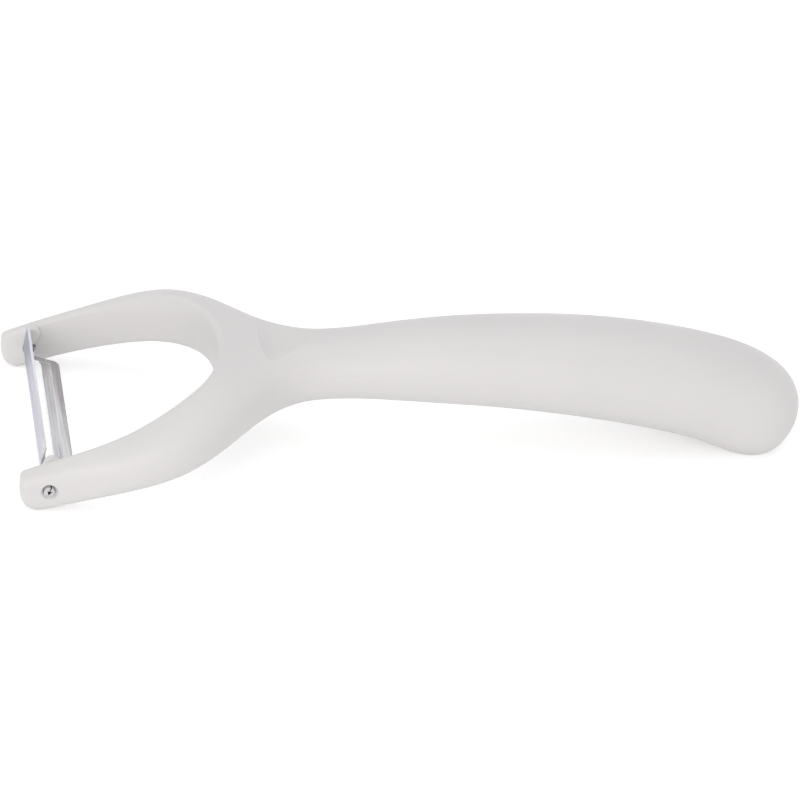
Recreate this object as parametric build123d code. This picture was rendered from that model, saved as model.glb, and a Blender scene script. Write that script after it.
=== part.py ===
from build123d import *
from math import cos, radians, sin, tan
import os

os.makedirs("parts", exist_ok=True)

# Vegetable peeler: a one-piece moulded fork and handle, and a swivelling
# stamped blade whose rolled end tongues turn in holes through the fork arms.
# X runs from the fork tips to the butt, Y across the fork, Z up. The origin is
# on the table under the middle of the peeler, which rests on the two fork tips
# and on the underside of the butt.

# Overall sizes of the moulding (mm)
LENGTH = 180.0            # fork tips to butt
FORK_RISE = 26.2          # height of the neck's top above the table
HANDLE_WIDTH = 27.4       # widest, near the butt
HANDLE_DEPTH = 21.7       # thickest, near the butt
HANDLE_RISE = 20.1        # height of the handle's centre line at its crown
BUTT_CAP = 17.3           # length of the rounded end
BUTT_DROOP = 24.0         # degrees that the rounded end points down
CAP_POWER = 2.9           # 2 is a half ellipsoid, more is blunter

# Arms and window (mm)
ARM_INSIDE = 28.4         # half the clear width at the pivots
ARM_THICKNESS = 4.7       # at the pivots
WINDOW_FLARE = 5.8        # how far the window opens out above its waist
WINDOW_UNDERFLARE = 2.6   # and below it
WINDOW_REACH = 12.0       # from the window's waist up and down to its mouths
WINDOW_EDGE = 1.2         # rounding of the window's edges
ARM_PITCH = 15.5          # degrees that the arms climb from the tips
TIP_HEIGHT = 10.0         # height of an arm at its tip
TIP_CORNER = 4.4          # rounding of the tip, seen from the side
TIP_SLOPE = 26.0          # degrees that the arm's top climbs at the tip
TIP_LENGTH = 8.0          # of the trimmed tip
TIP_EDGE = 1.2            # rounding of the tip's long edges
OVERRUN = 4.0             # how far cuts run past what they cut

# Pivots (mm), places are from the tips and above the table
PIVOT_BACK = 6.3
PIVOT_HEIGHT = 5.4
PIN_RADIUS = 1.25
PIN_CLEARANCE = 0.12
MOUTH_RADIUS = 1.7        # of the hole's rounded mouths
MOUTH_DEPTH = 0.5
BOSS_RADIUS = 1.5         # of its two rounded ends
BOSS_LENGTH = 1.6         # between their centres
BOSS_LEAN = 27.0          # degrees from upright, towards the handle
BOSS_ABOVE_PIVOT = 2.9    # centre of its lower end
BOSS_PROUD = 1.3
BOSS_EDGE = 0.4
BOSS_SEAT = 0.9           # how far it is sunk into the arm

# Blade (mm)
SHEET = 0.6
BLADE_PLAY = 0.2          # between an end bridge and the boss
GUARD_SHORT = 0.7         # how far the upright guard stops short of the bridge's end
BRIDGE_WIDTH = 1.9
BLADE_PITCH = 18.0        # degrees that the blade's plate slopes down to the back
SLOT_FRONT = 0.6          # from the pivot axis, along the plate
SLOT_BACK = 3.1
PLATE_BACK = 7.3
BEVEL_WIDTH = 2.0
EDGE_THICKNESS = 0.12
PLATE_CORNER = 1.6
SLOT_CORNER = 0.8
GUARD_HEIGHT = 6.9        # above the pivot axis
GUARD_TOP_FRONT = 0.95    # how far the guard's top stands ahead of the axis
GUARD_LEAN = 7.5          # degrees from upright
GUARD_BEND = 3.2          # middle radius of the curl under the guard
ROOT_HEIGHT = 1.1         # walls of the tongue's root above the axis
ROOT_PLAY = 0.4           # between the tongue's root and the arm
CORNERS = 3               # of the hollow that the roll leaves
ROLL_GAP = 16.0           # degrees left open where the rolled tongue closes
PIN_REACH = 0.75          # how far the rolled tongue runs out past the arm's thickness

# Thumb dish on the neck's top (mm)
DISH_FRONT = 54.6         # from the tips
DISH_BACK = 67.5
DISH_WALL = 2.2           # length of its short front wall
DISH_DEPTH = 1.6
DISH_HOLLOW = 4.0         # radius between its front wall and its floor

window_share = 0.2605     # fork tips to the bottom of the crotch, of LENGTH
window_length = window_share * LENGTH
arm_outside = ARM_INSIDE + ARM_THICKNESS
blade_half = ARM_INSIDE - BOSS_PROUD - BLADE_PLAY
guard_half = blade_half - GUARD_SHORT


def from_tips(distance):
    return distance - LENGTH / 2


# Each row of the moulding's stations: place along the length, half width,
# height of the widest point, top, keel's distance out, keel and underside at
# the middle, as shares of LENGTH, the arms' outside at the pivots and FORK_RISE,
# then how flat the top runs out and how square its shoulder is.
fork_station_shares = [
    (-0.020, 0.968, 0.160, 0.315, 0.918, -0.025, 0.000, 0.97, 0.80),
    (0.030, 1.016, 0.205, 0.476, 0.955, 0.010, 0.055, 0.96, 0.78),
    (0.075, 1.046, 0.268, 0.605, 0.968, 0.097, 0.205, 0.93, 0.72),
    (0.133, 1.078, 0.385, 0.747, 0.975, 0.206, 0.342, 0.90, 0.66),
    (0.200, 1.014, 0.500, 0.945, 0.895, 0.312, 0.515, 0.86, 0.62),
    (0.267, 0.735, 0.640, 0.990, 0.580, 0.400, 0.540, 0.80, 0.60),
    (0.322, 0.405, 0.680, 0.992, 0.280, 0.445, 0.465, 0.72, 0.58),
    (0.367, 0.274, 0.710, 0.992, 0.120, 0.450, 0.450, 0.64, 0.57),
]
# Each row of the handle's stations: place along the length, centre height as a
# share of HANDLE_RISE, half thickness of HANDLE_DEPTH, half width of
# HANDLE_WIDTH, and slope in degrees as a share of BUTT_DROOP.
handle_station_shares = [
    (0.410, 0.954, 0.326, 0.325, -0.20),
    (0.500, 0.999, 0.382, 0.372, -0.05),
    (0.611, 1.007, 0.434, 0.430, 0.16),
    (0.722, 0.943, 0.473, 0.475, 0.45),
    (0.833, 0.787, 0.496, 0.500, 0.75),
    (0.905, 0.606, 0.505, 0.505, 1.00),
]
cap_shares = [0.50, 0.78, 0.92, 0.975, 0.996]


def half_section(wide, wide_height, top, keel_out, keel, under, flat_share, round_share):
    """Half of a closed outline, from the top down to the underside."""
    crown = Bezier(
        (0, top),
        (wide * flat_share, top),
        (wide, wide_height + (top - wide_height) * round_share),
        (wide, wide_height),
    )
    flank = Bezier(
        (wide, wide_height),
        (wide, wide_height + (keel - wide_height) * round_share),
        (keel_out + (wide - keel_out) * round_share, keel),
        (keel_out, keel),
    )
    belly = Bezier(
        (keel_out, keel),
        (keel_out * flat_share, keel),
        (keel_out * flat_share, under),
        (0, under),
    )
    return [crown, flank, belly]


def outline(plane, sizes):
    """The whole outline as one wire on the given plane."""
    half = half_section(*sizes)
    other = [edge.mirror(Plane.YZ) for edge in half]
    return plane * Wire(half + other[::-1])


def section_plane(distance, height, slope):
    """Upright plane across the peeler, tipped by the slope of the spine."""
    back = Vector(cos(radians(slope)), 0, -sin(radians(slope)))
    return Plane(origin=(from_tips(distance), 0, height), x_dir=(0, 1, 0), z_dir=back)


# Outer form of the moulding
wires = []
for along, wide, wide_height, top, keel_out, keel, under, flat, round_off in fork_station_shares:
    sizes = (
        wide * arm_outside,
        wide_height * FORK_RISE,
        top * FORK_RISE,
        keel_out * arm_outside,
        keel * FORK_RISE,
        under * FORK_RISE,
        flat,
        round_off,
    )
    wires.append(outline(section_plane(along * LENGTH, 0, 0), sizes))


def handle_outline(plane, half_depth, half_width):
    keel_share, flat_share, round_share = 0.30, 0.60, 0.58
    sizes = (
        half_width,
        0,
        half_depth,
        half_width * keel_share,
        -half_depth,
        -half_depth,
        flat_share,
        round_share,
    )
    return outline(plane, sizes)


for along, height, depth, width, slope in handle_station_shares:
    plane = section_plane(along * LENGTH, height * HANDLE_RISE, slope * BUTT_DROOP)
    wires.append(handle_outline(plane, depth * HANDLE_DEPTH, width * HANDLE_WIDTH))
for share in cap_shares:
    cap_plane = plane.offset(share * BUTT_CAP)
    shrink = (1 - share**CAP_POWER) ** (1 / CAP_POWER)
    half_depth = depth * HANDLE_DEPTH * shrink
    half_width = width * HANDLE_WIDTH * shrink
    wires.append(handle_outline(cap_plane, half_depth, half_width))
body = Solid.make_loft(wires)

# Window between the arms: a loft that is narrowest half way up the arms.
# Each row: place along window_length and half width of ARM_INSIDE, as shares.
window_shares = [
    (-0.25, 0.985),
    (-0.05, 0.992),
    (0.13, 1.000),
    (0.34, 0.990),
    (0.55, 0.930),
    (0.76, 0.775),
    (0.925, 0.510),
    (1.000, 0.000),
]


def window_ring(level, flare):
    along_scale = (window_length + flare) / window_length
    across_scale = (ARM_INSIDE + flare) / ARM_INSIDE
    points = []
    for along, across in window_shares:
        x = along * window_length * along_scale
        y = across * ARM_INSIDE * across_scale
        points.append((x, y))
    mirrored = [(x, -y) for x, y in points[-2::-1]]
    around = Spline(*points, *mirrored, tangents=[(1, 0), (-1, 0)])
    front = Line(around @ 1, around @ 0)
    tips = Plane(
        origin=(from_tips(0), 0, TIP_HEIGHT / 2),
        x_dir=(cos(radians(ARM_PITCH)), 0, sin(radians(ARM_PITCH))),
        z_dir=(-sin(radians(ARM_PITCH)), 0, cos(radians(ARM_PITCH))),
    )
    return tips.offset(level) * Wire([around, front])


window = Solid.make_loft(
    [
        window_ring(-WINDOW_REACH, WINDOW_UNDERFLARE),
        window_ring(0, 0),
        window_ring(WINDOW_REACH, WINDOW_FLARE),
    ]
)
body = body - window

# Its edges above and below are rounded
for above in (True, False):
    rims = [
        edge
        for edge in body.edges()
        if edge.length > window_length
        and abs(edge.center().Y) < ARM_INSIDE
        and edge.center().X < from_tips(window_length)
        and (edge.center().Z > FORK_RISE / 2) == above
    ]
    body = fillet(rims, WINDOW_EDGE)

# Side view that the tips are trimmed to, with the flat rests on the table
tip_climb = TIP_LENGTH * tan(radians(TIP_SLOPE))
clear_above = 2 * FORK_RISE
side_view = Polyline(
    (from_tips(0), 0),
    (from_tips(LENGTH + OVERRUN), 0),
    (from_tips(LENGTH + OVERRUN), clear_above),
    (from_tips(2 * TIP_LENGTH), clear_above),
    (from_tips(TIP_LENGTH), TIP_HEIGHT + tip_climb),
    (from_tips(0), TIP_HEIGHT),
    close=True,
)
side_face = Plane.XZ * make_face(side_view)
tip_corners = side_face.vertices().sort_by(Axis.X)[:2]
side_face = fillet(tip_corners, TIP_CORNER)
body = body & extrude(side_face, 2 * arm_outside, both=True)

# The tips' long edges, inside and outside, are rounded too
tip_rims = [
    edge
    for edge in body.edges()
    if edge.center().X < from_tips(TIP_CORNER / 2) and edge.length > TIP_EDGE
]
body = fillet(tip_rims, TIP_EDGE)

# Pivot bosses and holes
pivot = Vector(from_tips(PIVOT_BACK), 0, PIVOT_HEIGHT)
hole_radius = PIN_RADIUS + PIN_CLEARANCE


def across(side, distance, x=0, z=0):
    """Plane facing outwards at a distance across the peeler, from the pivot axis."""
    place = pivot + Vector(x, side * distance, z)
    return Plane(origin=place, x_dir=(side, 0, 0), z_dir=(0, side, 0))


boss_length = BOSS_PROUD + BOSS_SEAT
boss_x = sin(radians(BOSS_LEAN)) * BOSS_LENGTH / 2
boss_z = BOSS_ABOVE_PIVOT + cos(radians(BOSS_LEAN)) * BOSS_LENGTH / 2
upright = -90
for side in (-1, 1):
    hole_plane = across(side, ARM_INSIDE - BOSS_PROUD - OVERRUN)
    drill_length = BOSS_PROUD + ARM_THICKNESS + 2 * OVERRUN
    drill = hole_plane * Cylinder(
        hole_radius, drill_length, align=(Align.CENTER, Align.CENTER, Align.MIN)
    )
    body = body - drill
    for place, turn in ((ARM_INSIDE, 1), (arm_outside, -1)):
        mouth_plane = across(side, place - turn * (OVERRUN - MOUTH_DEPTH) / 2)
        wide_radius = hole_radius + (MOUTH_RADIUS - hole_radius) * OVERRUN / MOUTH_DEPTH
        radii = (wide_radius, hole_radius) if turn > 0 else (hole_radius, wide_radius)
        body = body - mouth_plane * Cone(*radii, OVERRUN)
    boss_plane = across(side, ARM_INSIDE - BOSS_PROUD, boss_x, boss_z)
    slot_turn = upright + side * BOSS_LEAN
    boss = boss_plane * SlotCenterToCenter(BOSS_LENGTH, 2 * BOSS_RADIUS, rotation=slot_turn)
    boss = extrude(boss, boss_length)
    face = boss.faces().sort_by(Axis.Y)[0 if side > 0 else -1]
    body = body + fillet(face.edges(), BOSS_EDGE)

# Thumb dish, deepest behind its short front wall, with a floor that rises to the back
neck_share = 0.992
neck_top = neck_share * FORK_RISE
dish_lowest = DISH_FRONT + DISH_WALL
dish_side = FilletPolyline(
    (from_tips(DISH_FRONT - DISH_WALL), neck_top + DISH_DEPTH),
    (from_tips(dish_lowest), neck_top - DISH_DEPTH),
    (from_tips(DISH_BACK + DISH_BACK - dish_lowest), neck_top + DISH_DEPTH),
    radius=DISH_HOLLOW,
)
dish_roof = Line(dish_side @ 1, dish_side @ 0)
dish = Plane.XZ * make_face([*dish_side.edges(), dish_roof])
dish = extrude(dish, HANDLE_WIDTH, both=True)
body = body - dish

export_step(body, "parts/fork_handle.step")

# Blade: sheet seen from the side, with u back along the plate and n away from it
blade_plane = Plane(
    origin=pivot,
    x_dir=(cos(radians(BLADE_PITCH)), 0, -sin(radians(BLADE_PITCH))),
    z_dir=(0, -1, 0),
)


def in_blade(x, z):
    """Side view point in blade coordinates, from one ahead or above the axis."""
    turn = radians(BLADE_PITCH)
    return (x * cos(turn) - z * sin(turn), x * sin(turn) + z * cos(turn))


plate_level = SHEET / 2 - PIN_RADIUS
lean = radians(GUARD_LEAN)
top_x = -GUARD_TOP_FRONT + SHEET / 2
top = in_blade(top_x, GUARD_HEIGHT)
foot = in_blade(top_x - GUARD_HEIGHT * tan(lean), 0)
fall = (plate_level - top[1]) / (foot[1] - top[1])
corner = (top[0] + (foot[0] - top[0]) * fall, plate_level)
sheet_line = FilletPolyline(top, corner, (PLATE_BACK, plate_level), radius=GUARD_BEND)
sheet = trace(sheet_line, line_width=SHEET)
blade = extrude(blade_plane * sheet, blade_half, both=True)


def blade_box(u0, u1, n0, n1, y0, y1):
    """Block in blade coordinates, with y across the peeler."""
    block = Box(u1 - u0, n1 - n0, y1 - y0, align=(Align.MIN, Align.MIN, Align.MIN))
    return blade_plane * Pos(u0, n0, -y1) * block


slot_half = blade_half - BRIDGE_WIDTH
slot = blade_box(SLOT_FRONT, SLOT_BACK, -OVERRUN, OVERRUN, -slot_half, slot_half)
plate_normal = Axis(pivot, (sin(radians(BLADE_PITCH)), 0, cos(radians(BLADE_PITCH))))
slot_rows = slot.edges().filter_by(plate_normal)
slot = fillet(slot_rows, SLOT_CORNER)
blade = blade - slot
for side in (-1, 1):
    end = sorted((side * guard_half, side * (blade_half + OVERRUN)))
    blade = blade - blade_box(-2 * OVERRUN, 0, ROOT_HEIGHT, 2 * GUARD_HEIGHT, *end)
plate_top = SHEET - PIN_RADIUS
bevel_profile = Polyline(
    (SLOT_BACK - SHEET, EDGE_THICKNESS - PIN_RADIUS),
    (SLOT_BACK, EDGE_THICKNESS - PIN_RADIUS),
    (SLOT_BACK + BEVEL_WIDTH, plate_top),
    (SLOT_BACK + BEVEL_WIDTH, plate_top + SHEET),
    (SLOT_BACK - SHEET, plate_top + SHEET),
    close=True,
)
blade = blade - extrude(blade_plane * make_face(bevel_profile), slot_half, both=True)
back_rows = [
    edge
    for edge in blade.edges().filter_by(plate_normal)
    if blade_plane.to_local_coords(edge.center()).X > PLATE_BACK - SHEET
]
blade = fillet(back_rows, PLATE_CORNER)

# Tongues: a channel-shaped root that meets the boss, and a pin rolled round a
# three-cornered hollow
bore = PIN_RADIUS - SHEET
channel = Circle(PIN_RADIUS) + Pos(0, ROOT_HEIGHT / 2) * Rectangle(2 * PIN_RADIUS, ROOT_HEIGHT)
channel -= Pos(0, GUARD_HEIGHT) * Rectangle(2 * PIN_RADIUS, 2 * (GUARD_HEIGHT - ROOT_HEIGHT))
channel -= Circle(bore) + Pos(0, ROOT_HEIGHT) * Rectangle(2 * bore, 2 * ROOT_HEIGHT)
half_gap = radians(ROLL_GAP / 2)
wedge = make_face(
    Polyline(
        (0, 0),
        (2 * PIN_RADIUS * sin(half_gap), 2 * PIN_RADIUS * cos(half_gap)),
        (-2 * PIN_RADIUS * sin(half_gap), 2 * PIN_RADIUS * cos(half_gap)),
        close=True,
    )
)
hollow = RegularPolygon(bore, CORNERS, rotation=upright)
roll = Circle(PIN_RADIUS) - hollow - wedge
root_start = blade_half - BRIDGE_WIDTH / 2
root_end = ARM_INSIDE - ROOT_PLAY
pin_end = arm_outside + PIN_REACH
for side in (-1, 1):
    root = extrude(blade_plane.offset(-side * root_start) * channel, -side * (root_end - root_start))
    pin = extrude(blade_plane.offset(-side * root_end) * roll, -side * (pin_end - root_end))
    blade = blade + root + pin
export_step(blade, "parts/blade.step")
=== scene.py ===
from math import radians

import bmesh
import bpy
from bpy.props import FloatProperty, FloatVectorProperty, PointerProperty
from mathutils import Matrix, Vector


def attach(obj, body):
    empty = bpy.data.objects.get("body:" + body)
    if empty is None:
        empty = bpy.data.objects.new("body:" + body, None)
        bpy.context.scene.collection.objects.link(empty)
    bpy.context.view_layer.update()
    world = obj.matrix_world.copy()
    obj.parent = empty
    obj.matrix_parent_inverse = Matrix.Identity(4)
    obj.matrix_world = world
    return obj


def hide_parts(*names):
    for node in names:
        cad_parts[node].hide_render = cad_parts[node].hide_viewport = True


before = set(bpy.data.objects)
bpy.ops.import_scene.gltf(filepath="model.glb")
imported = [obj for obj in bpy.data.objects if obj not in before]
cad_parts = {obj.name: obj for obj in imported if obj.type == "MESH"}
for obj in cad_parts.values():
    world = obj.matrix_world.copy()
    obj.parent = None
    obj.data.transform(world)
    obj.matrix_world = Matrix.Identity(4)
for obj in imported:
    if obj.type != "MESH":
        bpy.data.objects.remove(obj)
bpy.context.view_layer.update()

bl_info = {
    "name": "Vegetable peeler",
    "version": (1, 0, 0),
    "blender": (4, 5, 0),
    "location": "View3D > Sidebar > Peeler",
    "description": "Dresses a swivel-blade vegetable peeler and its studio",
    "category": "Object",
}


# Sizes and colours that can be changed


class PeelerPlastic(bpy.types.PropertyGroup):
    """Finish of the moulded fork and handle."""

    colour: FloatVectorProperty(
        name="Colour",
        description="Base colour of the moulding",
        subtype="COLOR",
        size=3,
        min=0.0,
        max=1.0,
        default=(0.755, 0.738, 0.732),
    )
    roughness: FloatProperty(
        name="Roughness",
        description="How satin the moulding is",
        subtype="FACTOR",
        min=0.0,
        max=1.0,
        default=0.42,
    )
    grain_size: FloatProperty(
        name="Grain size",
        description="Width of the fine moulded grain",
        unit="LENGTH",
        precision=5,
        min=0.00005,
        default=0.0004,
    )
    grain_height: FloatProperty(
        name="Grain height",
        description="Height of the fine moulded grain",
        unit="LENGTH",
        precision=6,
        min=0.0,
        default=0.00001,
    )
    edge_softness: FloatProperty(
        name="Edge softness",
        description="How far the moulding's edges run out softly",
        unit="LENGTH",
        precision=4,
        min=0.0,
        default=0.0016,
    )


class PeelerSteel(bpy.types.PropertyGroup):
    """Finish of the stamped blade."""

    colour: FloatVectorProperty(
        name="Colour",
        description="Reflection colour of the steel",
        subtype="COLOR",
        size=3,
        min=0.0,
        max=1.0,
        default=(0.73, 0.725, 0.735),
    )
    grazing_colour: FloatVectorProperty(
        name="Grazing colour",
        description="Tint of the reflections along the surface",
        subtype="COLOR",
        size=3,
        min=0.0,
        max=1.0,
        default=(0.66, 0.68, 0.76),
    )
    # Painted light: the bar is the same sheet as the guard but gets a lighter reflection colour so
    # that it shows brighter; its smoother polish is the real part, in the roughness.
    bar_painted_light_colour: FloatVectorProperty(
        name="Bar colour",
        description="Reflection colour of the polished bar behind the bevel",
        subtype="COLOR",
        size=3,
        min=0.0,
        max=1.0,
        default=(0.87, 0.855, 0.86),
    )
    # Painted highlight: the cut edges and the crease's rounding get a lighter steel colour than the
    # sheet, so they show as bright lines; their lower roughness is the real polish.
    edge_highlight_colour: FloatVectorProperty(
        name="Cut edge colour",
        description="Reflection colour of the bright cut and ground edges",
        subtype="COLOR",
        size=3,
        min=0.0,
        max=1.0,
        default=(0.86, 0.86, 0.90),
    )
    # Painted shade: the tongues' ends get a darker steel colour that stands in for the shade on the
    # pin ends in their holes.
    tongue_end_shade_colour: FloatVectorProperty(
        name="Tongue end colour",
        description="Reflection colour of the tongues' dull sheared ends",
        subtype="COLOR",
        size=3,
        min=0.0,
        max=1.0,
        default=(0.60, 0.59, 0.59),
    )
    roughness: FloatProperty(
        name="Roughness",
        description="How blurred the steel's reflections are",
        subtype="FACTOR",
        min=0.0,
        max=1.0,
        default=0.18,
    )
    brushing: FloatProperty(
        name="Brushing",
        description="How much the lines along the blade stretch its reflections",
        subtype="FACTOR",
        min=0.0,
        max=1.0,
        default=0.6,
    )
    # The crease's rounding gets the cut-edge steel, so this bright line is a painted highlight.
    crease_width: FloatProperty(
        name="Crease width",
        description="Width of the bright line where the grinding starts",
        unit="LENGTH",
        precision=5,
        min=0.0,
        default=0.0003,
    )
    edge_softness: FloatProperty(
        name="Edge softness",
        description="Width of the rounding along the sheet's edges",
        unit="LENGTH",
        precision=5,
        min=0.0,
        default=0.00009,
    )
    line_depth: FloatProperty(
        name="Line depth",
        description="Depth of the fine lines that rolling and grinding leave",
        unit="LENGTH",
        precision=7,
        min=0.0,
        default=0.000002,
    )
    wave_depth: FloatProperty(
        name="Wave depth",
        description="Depth of the soft waves that rolling leaves along the sheet",
        unit="LENGTH",
        precision=6,
        min=0.0,
        default=0.00009,
    )
    back_lift: FloatProperty(
        name="Back lift",
        description="How far the bar is bent up behind its ground bevel",
        subtype="ANGLE",
        min=0.0,
        max=radians(12.0),
        default=radians(5.0),
    )


class PeelerStage(bpy.types.PropertyGroup):
    """Floor, lights and camera."""

    floor_colour: FloatVectorProperty(
        name="Floor colour",
        description="Colour of the pale floor",
        subtype="COLOR",
        size=3,
        min=0.0,
        max=1.0,
        default=(0.93, 0.93, 0.93),
    )
    floor_lift: FloatProperty(
        name="Floor lift",
        description="How much whiter the floor looks to the camera and in the steel",
        min=0.0,
        max=1.0,
        default=0.37,
    )
    floor_reach: FloatProperty(
        name="Floor reach",
        description="Half width of the floor",
        unit="LENGTH",
        min=0.1,
        default=3.0,
    )
    camera_place: FloatVectorProperty(
        name="Camera place",
        description="Where the camera stands",
        subtype="TRANSLATION",
        size=3,
        default=(-0.1959, -1.08674, 0.66695),
    )
    camera_turn: FloatVectorProperty(
        name="Camera turn",
        description="How the camera is turned",
        subtype="EULER",
        size=3,
        default=(radians(59.097), radians(-4.690), radians(-7.330)),
    )
    lens: FloatProperty(
        name="Lens",
        description="Focal length on a 36 mm wide frame",
        unit="CAMERA",
        min=10.0,
        default=255.04,
    )


# Materials


def new_material(name):
    """An empty node material, and its nodes and links."""
    material = bpy.data.materials.new(name)
    material.use_nodes = True
    tree = material.node_tree
    tree.nodes.clear()
    output = tree.nodes.new("ShaderNodeOutputMaterial")
    shader = tree.nodes.new("ShaderNodeBsdfPrincipled")
    tree.links.new(shader.outputs["BSDF"], output.inputs["Surface"])
    return material, tree, shader


def surface_noise(tree, stretch, detail=2.0, roughness=0.5):
    """Noise on the piece's own coordinates, stretched in each direction."""
    coords = tree.nodes.new("ShaderNodeTexCoord")
    mapping = tree.nodes.new("ShaderNodeMapping")
    mapping.inputs["Scale"].default_value = stretch
    noise = tree.nodes.new("ShaderNodeTexNoise")
    noise.inputs["Scale"].default_value = 1.0
    noise.inputs["Detail"].default_value = detail
    noise.inputs["Roughness"].default_value = roughness
    tree.links.new(coords.outputs["Object"], mapping.inputs["Vector"])
    tree.links.new(mapping.outputs["Vector"], noise.inputs["Vector"])
    return noise.outputs["Fac"]


def spread(tree, source, low, high, start=0.3, end=0.7):
    """A value between start and end, turned into one between low and high."""
    span = tree.nodes.new("ShaderNodeMapRange")
    span.inputs["From Min"].default_value = start
    span.inputs["From Max"].default_value = end
    span.inputs["To Min"].default_value = low
    span.inputs["To Max"].default_value = high
    tree.links.new(source, span.inputs["Value"])
    return span.outputs["Result"]


def tinted(tree, colour, factor, darker):
    """The colour, made darker where the factor is one."""
    mix = tree.nodes.new("ShaderNodeMix")
    mix.data_type = "RGBA"
    mix.inputs["A"].default_value = (*colour, 1.0)
    mix.inputs["B"].default_value = (*[c * darker for c in colour], 1.0)
    tree.links.new(factor, mix.inputs["Factor"])
    return mix.outputs["Result"]


def bump(tree, shader, *layers, below=None):
    """Relief of the surface, from layers that each have a height and a depth."""
    for height, depth in layers:
        relief = tree.nodes.new("ShaderNodeBump")
        relief.inputs["Strength"].default_value = 1.0
        relief.inputs["Distance"].default_value = depth
        tree.links.new(height, relief.inputs["Height"])
        if below:
            tree.links.new(below.outputs["Normal"], relief.inputs["Normal"])
        below = relief
    tree.links.new(below.outputs["Normal"], shader.inputs["Normal"])


# Where the moulding's edges turn soft and crisp again, in metres along X
CRISP_TO_SOFT = (-0.075, -0.055)  # from the bosses to the crotch
SOFT_TO_CRISP = (-0.042, -0.037)  # from the crotch to the thumb dish
CRISP_SHARE = 0.1  # of the edge softness, where the edges are crisp

# How fine each noise on the moulding is, in waves to the metre along X, Y and Z
CLOUDS = (45, 45, 45)
HANDLING_MARKS = (90, 260, 260)
CLOUD_SHADE = 0.975  # share of the colour that the clouds leave
MARKED_SMOOTHER = 0.05  # how far the handling marks move the roughness down
MARKED_ROUGHER = 0.06  # and up
EDGE_SAMPLES = 8  # rays that look for an edge nearby


def edge_radius(tree, softness):
    """How far the moulding's edges run out, from the fork tips to the butt."""
    coords = tree.nodes.new("ShaderNodeTexCoord")
    parts = tree.nodes.new("ShaderNodeSeparateXYZ")
    tree.links.new(coords.outputs["Object"], parts.inputs["Vector"])
    place = parts.outputs["X"]
    growing = spread(tree, place, softness * CRISP_SHARE, softness, *CRISP_TO_SOFT)
    keeping = spread(tree, place, 1.0, CRISP_SHARE, *SOFT_TO_CRISP)
    radius = tree.nodes.new("ShaderNodeMath")
    radius.operation = "MULTIPLY"
    tree.links.new(growing, radius.inputs[0])
    tree.links.new(keeping, radius.inputs[1])
    return radius.outputs["Value"]


def satin_plastic(finish):
    """Warm white moulded plastic with a fine grain and faint handling marks."""
    material, tree, shader = new_material("satin_white_plastic")
    clouding = spread(tree, surface_noise(tree, CLOUDS, 3.0), 0.0, 1.0)
    shade = tinted(tree, finish.colour, clouding, CLOUD_SHADE)
    tree.links.new(shade, shader.inputs["Base Color"])
    smoothest = finish.roughness - MARKED_SMOOTHER
    roughest = finish.roughness + MARKED_ROUGHER
    gloss = spread(tree, surface_noise(tree, HANDLING_MARKS, 4.0, 0.6), smoothest, roughest)
    tree.links.new(gloss, shader.inputs["Roughness"])
    rounding = tree.nodes.new("ShaderNodeBevel")
    rounding.samples = EDGE_SAMPLES
    tree.links.new(edge_radius(tree, finish.edge_softness), rounding.inputs["Radius"])
    fine = 1.0 / finish.grain_size
    grain = surface_noise(tree, (fine, fine, fine))
    bump(tree, shader, (grain, finish.grain_height), below=rounding)
    shader.inputs["IOR"].default_value = 1.47
    shader.inputs["Subsurface Weight"].default_value = 0.12
    shader.inputs["Subsurface Radius"].default_value = (1.0, 0.9, 0.8)
    shader.inputs["Subsurface Scale"].default_value = 0.0025
    return material


# How fine each noise on the blade is, in waves to the metre; the blade runs along Y
LINES = (9000, 160, 9000)
FINER_LINES = (16000, 300, 16000)
STAINS = (1500, 50, 1500)
WAVES = (1300, 35, 1300)
LINE_GLOSS = (0.85, 1.2)  # least and most roughness along the lines, as shares of it


def steel(name, finish, colour, roughness, stretch, depth, darker):
    """Bright steel with the fine lines that rolling or grinding leaves.

    darker is the share of the colour that is left where the sheet is stained.
    """
    material, tree, shader = new_material(name)
    shader.inputs["Metallic"].default_value = 1.0
    shader.inputs["Specular Tint"].default_value = (*finish.grazing_colour, 1.0)
    shader.inputs["Anisotropic"].default_value = finish.brushing
    around = tree.nodes.new("ShaderNodeTangent")
    around.direction_type = "RADIAL"
    around.axis = "Y"
    tree.links.new(around.outputs["Tangent"], shader.inputs["Tangent"])
    stained = spread(tree, surface_noise(tree, STAINS, 2.0), 0.0, 1.0)
    tree.links.new(tinted(tree, colour, stained, darker), shader.inputs["Base Color"])
    lines = surface_noise(tree, stretch, 3.0, 0.6)
    gloss = spread(tree, lines, *(roughness * share for share in LINE_GLOSS))
    tree.links.new(gloss, shader.inputs["Roughness"])
    waves = surface_noise(tree, WAVES, 1.0)
    bump(tree, shader, (waves, finish.wave_depth), (lines, depth))
    return material


ROLLED_ROUGHNESS = 0.34  # of the guard, as the sheet comes from the rolls
KEENER = 0.04  # how much smoother the ground bevel is than the bar
EDGE_ROUGHNESS = 0.12  # of the sheet's cut edges


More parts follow.
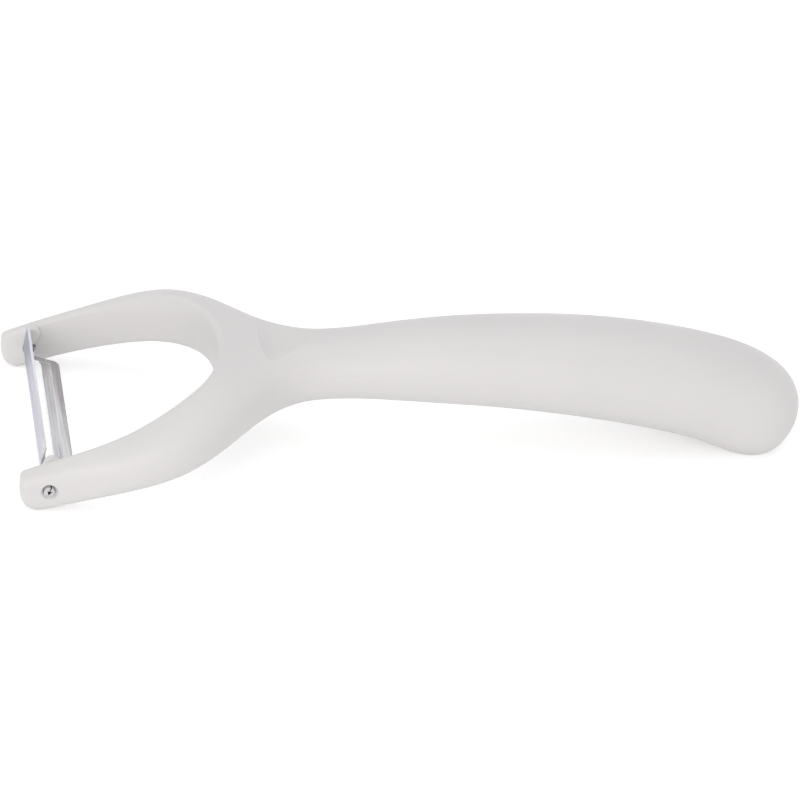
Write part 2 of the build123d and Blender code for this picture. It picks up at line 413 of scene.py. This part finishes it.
def blade_steels(finish):
    """The blade's five steels, in the order of its material slots."""
    depth = finish.line_depth
    keen = finish.roughness - KEENER
    return (
        steel("rolled_steel", finish, finish.colour, ROLLED_ROUGHNESS, LINES, depth, 0.86),
        steel("ground_steel", finish, finish.colour, keen, FINER_LINES, depth / 2, 0.80),
        # The cut-edge steel's lighter colour is a painted highlight on the edges and the crease.
        steel("cut_edge_highlight_steel", finish, finish.edge_highlight_colour, EDGE_ROUGHNESS, LINES, depth / 2, 0.97),
        # The bar's lighter colour is painted light on the same sheet; its lower roughness is its
        # real polish.
        steel("bar_steel", finish, finish.bar_painted_light_colour, finish.roughness, LINES, depth, 0.76),
        # The tongue ends' darker colour is painted shade on the pin ends.
        steel("shaded_tongue_end_steel", finish, finish.tongue_end_shade_colour, ROLLED_ROUGHNESS, LINES, depth, 0.80),
    )


# Pieces

# The cut-edge slot's lighter steel is a painted highlight.
# The tongue-end slot's darker steel is painted shade.
GROUND, CUT_HIGHLIGHT, BAR, SHADED_TONGUE_END = 1, 2, 3, 4  # the blade's material slots, after rolled steel

BROAD_FACE = 0.00005  # square metres, more than any strip of the curl
SAME_POINT = 0.000001  # metres
ON_CREASE = 0.00001  # metres, how near to the crease a point is still on it
AT_END = 0.0001  # metres, how near to the blade's ends a tongue's end face is
LEVEL = 0.9  # least upward share of a level face's normal
SLOPING = 0.8  # and of the bar's
LEANING = 0.2  # least backward share of the bar's normal, and more than the bevel's
SAME_PLANE = radians(1)
CREASED = radians(30)
SHADED_SHARP = radians(35)
SHARP = radians(60)
ROUNDING_STEPS = 2


def is_ground(face):
    """Whether a face is the blade's ground bevel, by the way it looks."""
    return face.normal.z > LEVEL and face.normal.x < LEANING


def is_flat_top(face):
    """Whether a face is the upper side of the bar behind the ground bevel."""
    return face.normal.z > SLOPING and face.normal.x > LEANING


def is_tongue_end(face, reach):
    """Whether a face is the sheared end of a rolled tongue."""
    return abs(face.normal.y) > 0.9 and abs(face.calc_center_median().y) > reach - AT_END


def edges_over(edges, angle):
    """The edges where two faces meet at more than an angle."""
    return [
        edge
        for edge in edges
        if len(edge.link_faces) == 2 and edge.calc_face_angle() > angle
    ]


def smooth_neighbours(face):
    """The faces that a face runs into without a sharp edge."""
    for edge in face.edges:
        if len(edge.link_faces) == 2 and edge.calc_face_angle() < CREASED:
            yield from (other for other in edge.link_faces if other is not face)


def cut_edges(shape):
    """The sheet's cut edges: the narrow faces between two sharp edges."""
    cut = set()
    for face in shape.faces:
        sharp = sum(edge.calc_length() for edge in edges_over(face.edges, SHARP))
        length = sum(edge.calc_length() for edge in face.edges)
        across = abs(face.normal.y) < 0.5
        if face.calc_area() < BROAD_FACE and across and sharp > length * 0.8:
            cut.add(face)
    waiting = list(cut)
    while waiting:
        for other in smooth_neighbours(waiting.pop()):
            if other not in cut and other.calc_area() < BROAD_FACE:
                cut.add(other)
                waiting.append(other)
    return cut


def soften(shape, edges, width):
    """Round the edges and give the rounding the cut edge's steel, whose lighter colour is a painted
    highlight.
    """
    rounded = bmesh.ops.bevel(
        shape,
        geom=edges,
        offset=width,
        segments=ROUNDING_STEPS,
        profile=0.5,
        affect="EDGES",
        clamp_overlap=True,
        material=-1,
    )
    for face in rounded["faces"]:
        face.material_index = CUT_HIGHLIGHT


def lift_back(shape, crease, bar, angle):
    """Bend the sheet behind the crease up about the crease's own line."""
    first, second = (vert.co for edge in crease for vert in edge.verts)
    hinge = (first + second) / 2
    along = Vector((bar.normal.z, 0.0, -bar.normal.x))
    bmesh.ops.bisect_plane(
        shape,
        geom=[*shape.verts, *shape.edges, *shape.faces],
        dist=SAME_POINT,
        plane_co=hinge,
        plane_no=along,
    )
    behind = [vert for vert in shape.verts if (vert.co - hinge).dot(along) > ON_CREASE]
    bmesh.ops.rotate(
        shape,
        cent=hinge,
        matrix=Matrix.Rotation(-angle, 3, "Y"),
        verts=behind,
    )


class PEELER_OT_dress_moulding(bpy.types.Operator):
    """Give the moulded fork and handle its satin plastic"""

    bl_idname = "peeler.dress_moulding"
    bl_label = "Fork and handle"

    def execute(self, context):
        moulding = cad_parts["fork_handle"]
        moulding.data.materials.clear()
        moulding.data.materials.append(satin_plastic(context.scene.peeler_plastic))
        return {"FINISHED"}


class PEELER_OT_make_blade(bpy.types.Operator):
    """Make the stamped blade, its bar bent up behind a crease and its edges soft"""

    bl_idname = "peeler.make_blade"
    bl_label = "Blade"

    def execute(self, context):
        finish = context.scene.peeler_steel
        shape = bmesh.new()
        shape.from_mesh(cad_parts["blade"].data)
        bmesh.ops.remove_doubles(shape, verts=shape.verts, dist=SAME_POINT)
        bmesh.ops.dissolve_limit(
            shape, angle_limit=SAME_PLANE, verts=shape.verts, edges=shape.edges
        )
        broad = [face for face in shape.faces if face.calc_area() > BROAD_FACE]
        ground = next(face for face in broad if is_ground(face))
        ground.material_index = GROUND
        bar = next(face for face in broad if is_flat_top(face))
        bar.material_index = BAR
        # The sheet's cut edges get the lighter cut-edge steel: a painted highlight in its colour,
        # real polish in its roughness.
        for face in cut_edges(shape):
            face.material_index = CUT_HIGHLIGHT
        reach = max(abs(vert.co.y) for vert in shape.verts)
        # The tongues' ends get the darker steel: painted shade on the pin ends.
        for face in shape.faces:
            if is_tongue_end(face, reach):
                face.material_index = SHADED_TONGUE_END
        crease = [
            edge
            for edge in ground.edges
            if all(face in broad for face in edge.link_faces)
        ]
        lift_back(shape, crease, bar, finish.back_lift)
        soften(shape, crease, finish.crease_width / 2)
        soften(shape, edges_over(shape.edges, CREASED), finish.edge_softness)
        for face in shape.faces:
            face.smooth = face.calc_area() < BROAD_FACE
        mesh = bpy.data.meshes.new("stamped_blade")
        shape.to_mesh(mesh)
        shape.free()
        mesh.set_sharp_from_angle(angle=SHADED_SHARP)
        for material in blade_steels(finish):
            mesh.materials.append(material)
        blade = bpy.data.objects.new("stamped_blade", mesh)
        context.scene.collection.objects.link(blade)
        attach(blade, "blade")
        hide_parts("blade")
        return {"FINISHED"}


# Stage

SOFTBOXES = (  # name, place, width, watts and tint
    ("front_softbox", (-0.8, -1.55, 0.75), 1.4, 11.0, (1.0, 0.985, 0.97)),
    ("top_softbox", (0.2, 0.3, 1.8), 1.6, 6.6, (0.985, 0.985, 1.02)),
)
WHITE_BELOW = 0.35  # the studio is white up to here, from 0 at the horizon to 1 overhead
DARK_ABOVE = 0.95  # and at its darkest from here
OVERHEAD = 0.6  # the studio's level there
UNSEEN = 0.8  # share of the studio's level that lights things, where 1 is what is seen
SENSOR_WIDTH = 36.0  # millimetres
FAR_CLIP = 20.0  # metres


def softbox(name, place, size, power, colour):
    """A large soft light that looks at the middle of the floor."""
    light = bpy.data.lights.new(name, "AREA")
    light.shape = "SQUARE"
    light.size = size
    light.energy = power
    light.color = colour
    lamp = bpy.data.objects.new(name, light)
    lamp.location = place
    lamp.rotation_euler = (-lamp.location).to_track_quat("-Z", "Y").to_euler()
    bpy.context.scene.collection.objects.link(lamp)


def seen_directly(tree, unseen, seen):
    """One level for light that falls on things, another for what is looked at."""
    path = tree.nodes.new("ShaderNodeLightPath")
    looks = path.outputs["Is Camera Ray"]
    for other in ("Is Glossy Ray", "Is Transmission Ray"):
        either = tree.nodes.new("ShaderNodeMath")
        either.operation = "MAXIMUM"
        tree.links.new(looks, either.inputs[0])
        tree.links.new(path.outputs[other], either.inputs[1])
        looks = either.outputs["Value"]
    return spread(tree, looks, unseen, seen, 0.0, 1.0)


def studio_world():
    """Pale studio walls: white at the horizon and greyer overhead."""
    world = bpy.data.worlds.new("soft_studio")
    world.use_nodes = True
    tree = world.node_tree
    back = tree.nodes["Background"]
    coords = tree.nodes.new("ShaderNodeTexCoord")
    parts = tree.nodes.new("ShaderNodeSeparateXYZ")
    tree.links.new(coords.outputs["Generated"], parts.inputs["Vector"])
    level = spread(tree, parts.outputs["Z"], 1.0, OVERHEAD, WHITE_BELOW, DARK_ABOVE)
    strength = tree.nodes.new("ShaderNodeMath")
    strength.operation = "MULTIPLY"
    tree.links.new(level, strength.inputs[0])
    tree.links.new(seen_directly(tree, UNSEEN, 1.0), strength.inputs[1])
    tree.links.new(strength.outputs["Value"], back.inputs["Strength"])
    back.inputs["Color"].default_value = (1.0, 1.0, 1.0, 1.0)
    return world


class PEELER_OT_set_stage(bpy.types.Operator):
    """Set up the pale floor, the soft light and the camera"""

    bl_idname = "peeler.set_stage"
    bl_label = "Stage"

    def execute(self, context):
        stage = context.scene.peeler_stage
        shape = bmesh.new()
        bmesh.ops.create_grid(shape, x_segments=1, y_segments=1, size=stage.floor_reach)
        mesh = bpy.data.meshes.new("studio_floor")
        shape.to_mesh(mesh)
        shape.free()
        material, tree, shader = new_material("pale_floor")
        lift = seen_directly(tree, 0.0, stage.floor_lift)
        tree.links.new(lift, shader.inputs["Emission Strength"])
        shader.inputs["Emission Color"].default_value = (1.0, 1.0, 1.0, 1.0)
        shader.inputs["Base Color"].default_value = (*stage.floor_colour, 1.0)
        shader.inputs["Roughness"].default_value = 0.9
        shader.inputs["Specular IOR Level"].default_value = 0.0
        mesh.materials.append(material)
        floor = bpy.data.objects.new("studio_floor", mesh)
        context.scene.collection.objects.link(floor)

        context.scene.world = studio_world()
        for box in SOFTBOXES:
            softbox(*box)

        camera = bpy.data.objects.new("photo_camera", bpy.data.cameras.new("photo_camera"))
        camera.location = stage.camera_place
        camera.rotation_euler = stage.camera_turn
        camera.data.sensor_width = SENSOR_WIDTH
        camera.data.lens = stage.lens
        camera.data.clip_end = FAR_CLIP
        context.scene.collection.objects.link(camera)
        context.scene.camera = camera
        context.scene.view_settings.view_transform = "Standard"
        return {"FINISHED"}


class PEELER_PT_sidebar(bpy.types.Panel):
    """Lists the peeler's pieces and their sizes and colours"""

    bl_idname = "PEELER_PT_sidebar"
    bl_label = "Peeler"
    bl_space_type = "VIEW_3D"
    bl_region_type = "UI"
    bl_category = "Peeler"

    def draw(self, context):
        groups = (
            (PEELER_OT_dress_moulding, context.scene.peeler_plastic),
            (PEELER_OT_make_blade, context.scene.peeler_steel),
            (PEELER_OT_set_stage, context.scene.peeler_stage),
        )
        for operator, sizes in groups:
            box = self.layout.box()
            for name in sizes.bl_rna.properties.keys():
                if name not in {"rna_type", "name"}:
                    box.prop(sizes, name)
            box.operator(operator.bl_idname)


CLASSES = (
    PeelerPlastic,
    PeelerSteel,
    PeelerStage,
    PEELER_OT_dress_moulding,
    PEELER_OT_make_blade,
    PEELER_OT_set_stage,
    PEELER_PT_sidebar,
)


def register():
    for cls in CLASSES:
        bpy.utils.register_class(cls)
    bpy.types.Scene.peeler_plastic = PointerProperty(type=PeelerPlastic)
    bpy.types.Scene.peeler_steel = PointerProperty(type=PeelerSteel)
    bpy.types.Scene.peeler_stage = PointerProperty(type=PeelerStage)


def unregister():
    del bpy.types.Scene.peeler_stage
    del bpy.types.Scene.peeler_steel
    del bpy.types.Scene.peeler_plastic
    for cls in reversed(CLASSES):
        bpy.utils.unregister_class(cls)


def main():
    register()
    bpy.ops.peeler.dress_moulding()
    bpy.ops.peeler.make_blade()
    bpy.ops.peeler.set_stage()
    bpy.context.view_layer.update()


if __name__ == "__main__":
    main()
